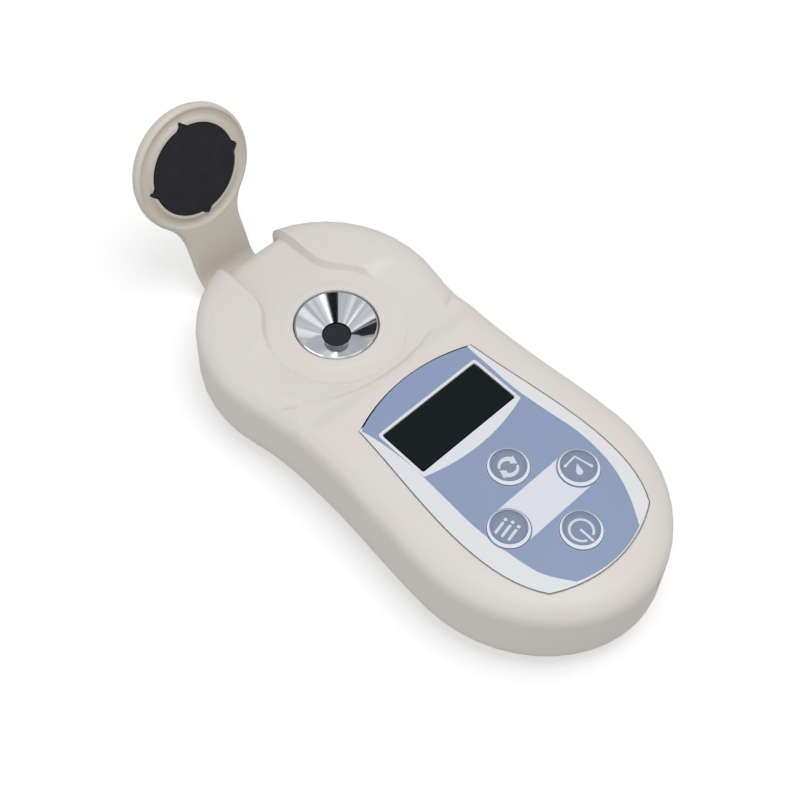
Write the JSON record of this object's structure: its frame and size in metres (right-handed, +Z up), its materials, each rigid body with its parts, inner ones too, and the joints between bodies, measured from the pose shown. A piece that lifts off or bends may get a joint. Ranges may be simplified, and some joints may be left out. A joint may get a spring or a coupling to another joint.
{
  "type": "digital salinity refractometer",
  "caption": "Pocket refractometer with a waisted housing, a steel sample well under a hinged lid, a display and round keys on a bowed overlay.",
  "frame": {"origin": "on the flat base, right under the axis of the sample well", "axes": "+Z up, -Z out of the flat base, +Y towards the head and the lid's hinge, along the longest side; +X to the right of a user who reads the display"},
  "size_m": [0.0614, 0.1533, 0.0501],
  "materials": {
    "housing": "fine satin, warm off-white",
    "lid_plastic": "fine satin, warm off-white",
    "pad_rubber": "dull black",
    "overlay": "satin film, blue with white areas",
    "key_film": "satin film, grey-blue",
    "window": "polished, nearly black",
    "display_glass": "dark display glass",
    "board": "green solder mask",
    "chip": "black moulding resin",
    "battery_can": "plain grey can",
    "contact": "plated spring metal",
    "well_steel": "mirror polished steel",
    "screw_steel": "plain steel",
    "seal_rubber": "black seal rubber",
    "prism_glass": "polished, dark",
    "holder": "black, dull",
    "lamp_resin": "clear lamp resin"
  },
  "bodies": {
    "housing": {"upper_housing": "housing", "lower_housing": "housing", "screw_head_left": "screw_steel", "screw_head_right": "screw_steel", "screw_tail_left": "screw_steel", "screw_tail_right": "screw_steel", "keypad_overlay": "overlay", "display_window": "window", "display_module": "display_glass", "main_board": "board", "switch_refresh": "chip", "switch_power": "chip", "switch_samples": "chip", "switch_drop": "chip", "battery": "battery_can", "battery_plate": "contact", "battery_spring": "contact", "sample_well": "well_steel", "well_seal": "seal_rubber", "prism": "prism_glass", "prism_holder": "holder", "light_source": "lamp_resin", "line_sensor": "chip", "sensor_board": "board", "temperature_sensor": "chip", "hinge_pin": "screw_steel"},
    "lid": {"lid": "lid_plastic", "lid_pad": "pad_rubber"},
    "battery_door": {"battery_door": "housing"},
    "key_refresh": {"key_refresh": "key_film"},
    "key_power": {"key_power": "key_film"},
    "key_samples": {"key_samples": "key_film"},
    "key_drop": {"key_drop": "key_film"}
  },
  "joints": [
    {"name": "lid_hinge", "type": "hinge", "parent": "housing", "child": "lid", "pos_m": [0, 0.03, 0.009], "axis": [1, 0, 0], "range_deg": [0, 105]},
    {"name": "door_slide", "type": "slide", "parent": "housing", "child": "battery_door", "axis": [0, -1, 0], "range_m": [0, 0.012]},
    {"name": "key_refresh_press", "type": "slide", "parent": "housing", "child": "key_refresh", "axis": [0, 0, -1], "range_m": [0, 0.00035], "stiffness_N_per_m": 600},
    {"name": "key_power_press", "type": "slide", "parent": "housing", "child": "key_power", "axis": [0, 0, -1], "range_m": [0, 0.00035], "stiffness_N_per_m": 600},
    {"name": "key_samples_press", "type": "slide", "parent": "housing", "child": "key_samples", "axis": [0, 0, -1], "range_m": [0, 0.00035], "stiffness_N_per_m": 600},
    {"name": "key_drop_press", "type": "slide", "parent": "housing", "child": "key_drop", "axis": [0, 0, -1], "range_m": [0, 0.00035], "stiffness_N_per_m": 600}
  ]
}
